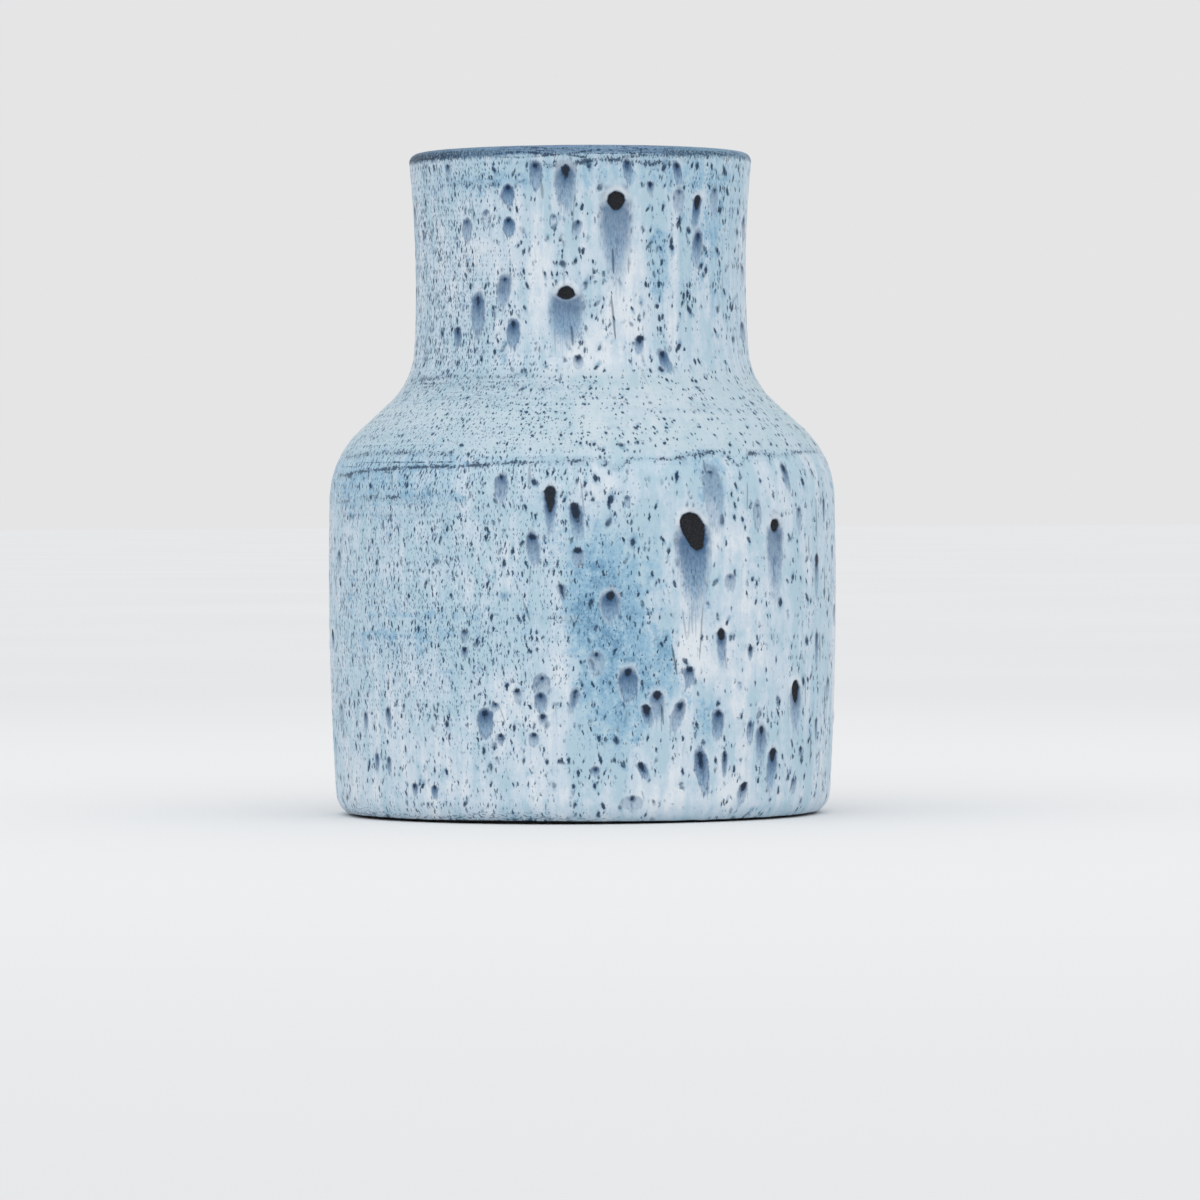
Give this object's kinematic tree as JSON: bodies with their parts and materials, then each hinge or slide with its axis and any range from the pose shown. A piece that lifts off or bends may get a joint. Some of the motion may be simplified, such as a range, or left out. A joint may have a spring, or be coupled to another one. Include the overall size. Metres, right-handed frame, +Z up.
{
  "type": "flower vase",
  "caption": "Wheel-thrown stoneware flower vase with a round belly, sloped shoulder, wide neck and a speckled pale blue glaze over dark clay.",
  "frame": {"origin": "centre of the foot, on the surface the vase stands on", "axes": "+Z up along the throwing axis, out of the mouth; -Y is the side seen in the picture"},
  "size_m": [0.1805, 0.1806, 0.235],
  "materials": {
    "bare_clay": "dark fired stoneware, matt and slightly sandy",
    "outer_glaze": "satin-matt pale blue glaze with dark pinholes, runs and bare spots",
    "liner_glaze": "satin-matt blue glaze, darker where it thins over the lip"
  },
  "bodies": {
    "root": {"clay_body": "bare_clay", "outer_glaze": "outer_glaze", "liner_glaze": "liner_glaze"}
  },
  "joints": []
}
